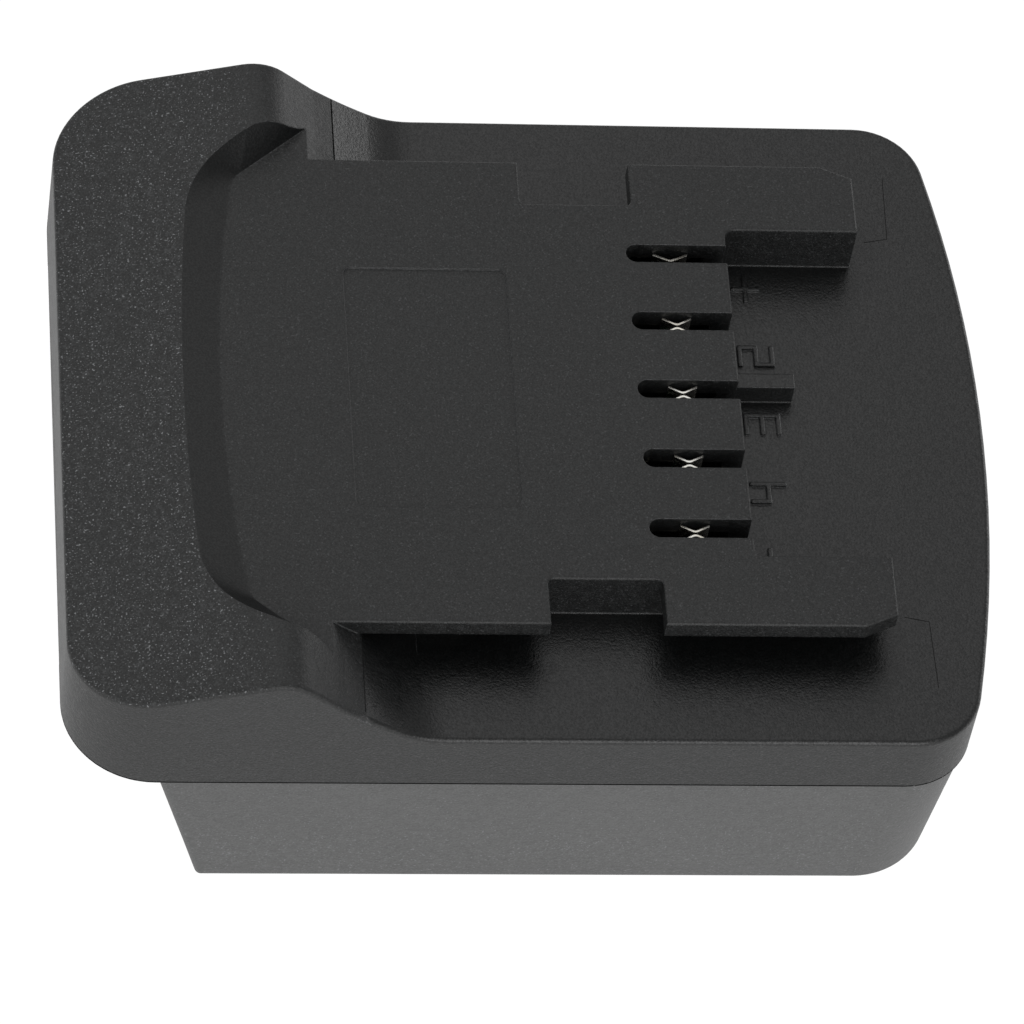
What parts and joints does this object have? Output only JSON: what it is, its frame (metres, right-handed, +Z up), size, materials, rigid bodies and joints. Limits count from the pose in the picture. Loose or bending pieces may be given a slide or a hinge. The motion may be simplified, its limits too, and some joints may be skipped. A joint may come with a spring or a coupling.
{
  "type": "tool battery adapter",
  "caption": "Slide-on adapter that joins a cordless tool to another battery pack, with sprung contacts on its deck, side latches and a release button in its hood.",
  "frame": {"origin": "bottom centre of the whole object's box, on the face it rests on", "axes": "+X along the slide direction towards the contact end, the hood with the release button at -X, +Z up through the deck, +Y to the side of the plus contact"},
  "size_m": [0.0926, 0.075, 0.0357],
  "materials": {
    "cover_plastic": "black glass-filled plastic, fine spark-eroded grain",
    "shell_plastic": "black plastic, fine grain",
    "button_plastic": "black plastic, fine grain",
    "latch_plastic": "black acetal, satin",
    "inner_plastic": "black plastic, satin",
    "spring_steel": "drawn spring wire",
    "contact_metal": "silver-plated spring bronze",
    "bus_metal": "bare copper, lightly tarnished",
    "screw_steel": "zinc-plated steel",
    "catch_steel": "stamped steel",
    "board_laminate": "green solder mask",
    "chip_black": "moulded epoxy",
    "capacitor_can": "drawn can",
    "fuse_body": "ceramic-coloured body",
    "wire_cover": "red insulation"
  },
  "bodies": {
    "case": {"battery_catch": "catch_steel", "blade_block": "inner_plastic", "blade_negative": "contact_metal", "blade_positive": "contact_metal", "blade_wire_left": "wire_cover", "blade_wire_right": "wire_cover", "board_screws": "screw_steel", "bus_strap_negative": "bus_metal", "bus_strap_positive": "bus_metal", "button_spring_left": "spring_steel", "button_spring_right": "spring_steel", "capacitor": "capacitor_can", "case_screws": "screw_steel", "catch_screws": "screw_steel", "chip_resistors": "chip_black", "circuit_board": "board_laminate", "clip_carrier": "inner_plastic", "clip_wire_2": "wire_cover", "clip_wire_3": "wire_cover", "clip_wire_4": "wire_cover", "contact_clip_1": "contact_metal", "contact_clip_2": "contact_metal", "contact_clip_3": "contact_metal", "contact_clip_4": "contact_metal", "contact_clip_5": "contact_metal", "control_chip": "chip_black", "fuse": "fuse_body", "lower_shell": "shell_plastic", "signal_blade_left": "contact_metal", "signal_blade_right": "contact_metal", "upper_cover": "cover_plastic"},
    "release_button": {"release_button": "button_plastic"},
    "latch_left": {"latch_left": "latch_plastic"},
    "latch_right": {"latch_right": "latch_plastic"}
  },
  "joints": [
    {"name": "button_slide", "type": "slide", "parent": "case", "child": "release_button", "axis": [1, 0, 0], "range_m": [0, 0.0024], "stiffness_N_per_m": 1500, "springref_m": -0.002, "deforming": ["button_spring_left", "button_spring_right"]},
    {"name": "latch_left_slide", "type": "slide", "parent": "case", "child": "latch_left", "axis": [0, -1, 0], "range_m": [0, 0.00195]},
    {"name": "latch_right_slide", "type": "slide", "parent": "case", "child": "latch_right", "axis": [0, 1, 0], "range_m": [0, 0.00195]}
  ],
  "couplings": [
    {"joint": "latch_left_slide", "follows": "button_slide", "ratio": 0.8},
    {"joint": "latch_right_slide", "follows": "button_slide", "ratio": 0.8}
  ]
}
